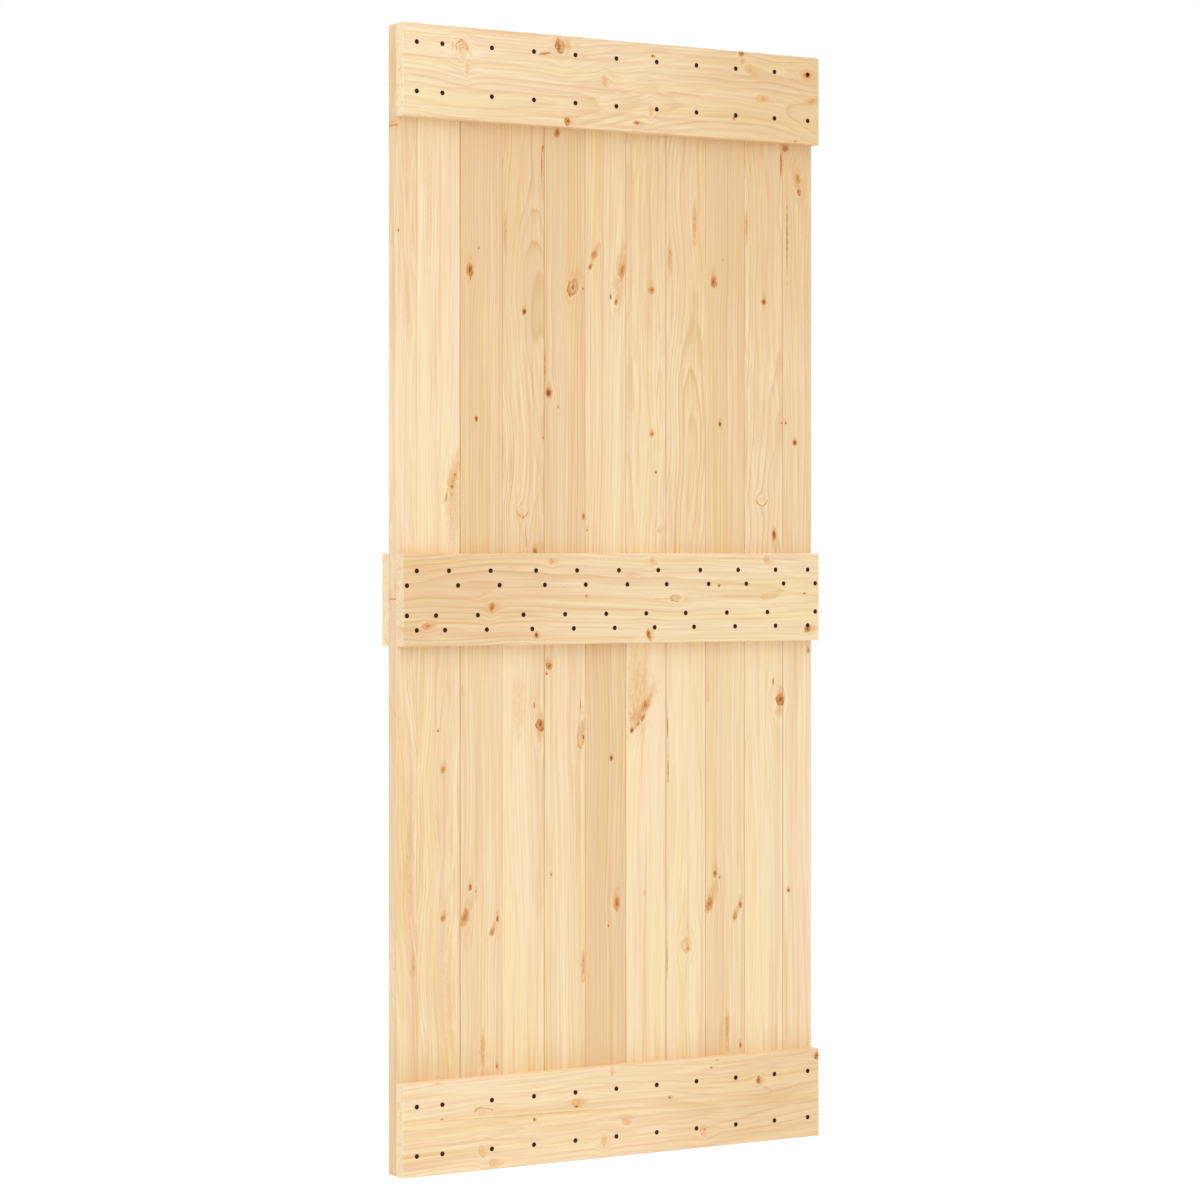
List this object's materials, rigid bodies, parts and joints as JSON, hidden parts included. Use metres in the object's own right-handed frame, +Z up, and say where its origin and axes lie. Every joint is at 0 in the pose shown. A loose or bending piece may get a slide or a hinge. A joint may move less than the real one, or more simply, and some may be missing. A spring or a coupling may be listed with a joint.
{
  "type": "sliding door leaf",
  "caption": "Ledged barn-door leaf of upright tongue-and-groove pine boards with screwed front rails and one rail on the back, made to hang from a top track.",
  "frame": {"origin": "middle of the top rail's front face, where the hangers of a track hold the leaf", "axes": "+X across the leaf to the right as seen from the front, +Y from the front face to the back, +Z upwards"},
  "size_m": [0.9, 0.078, 2.045],
  "materials": {
    "board_pine": "planed, unfinished",
    "rail_pine": "planed, unfinished",
    "screw_metal": "black, satin"
  },
  "bodies": {
    "root": {"board_01": "board_pine", "board_02": "board_pine", "board_03": "board_pine", "board_04": "board_pine", "board_05": "board_pine", "board_06": "board_pine", "board_07": "board_pine", "board_08": "board_pine", "board_09": "board_pine", "board_10": "board_pine", "board_11": "board_pine", "top_rail": "rail_pine", "middle_rail": "rail_pine", "bottom_rail": "rail_pine", "back_rail": "rail_pine", "top_rail_screws_upper": "screw_metal", "top_rail_screws_lower": "screw_metal", "middle_rail_screws_row_1": "screw_metal", "middle_rail_screws_row_2": "screw_metal", "middle_rail_screws_row_3": "screw_metal", "middle_rail_screws_row_4": "screw_metal", "bottom_rail_screws_upper": "screw_metal", "bottom_rail_screws_lower": "screw_metal"}
  },
  "joints": []
}
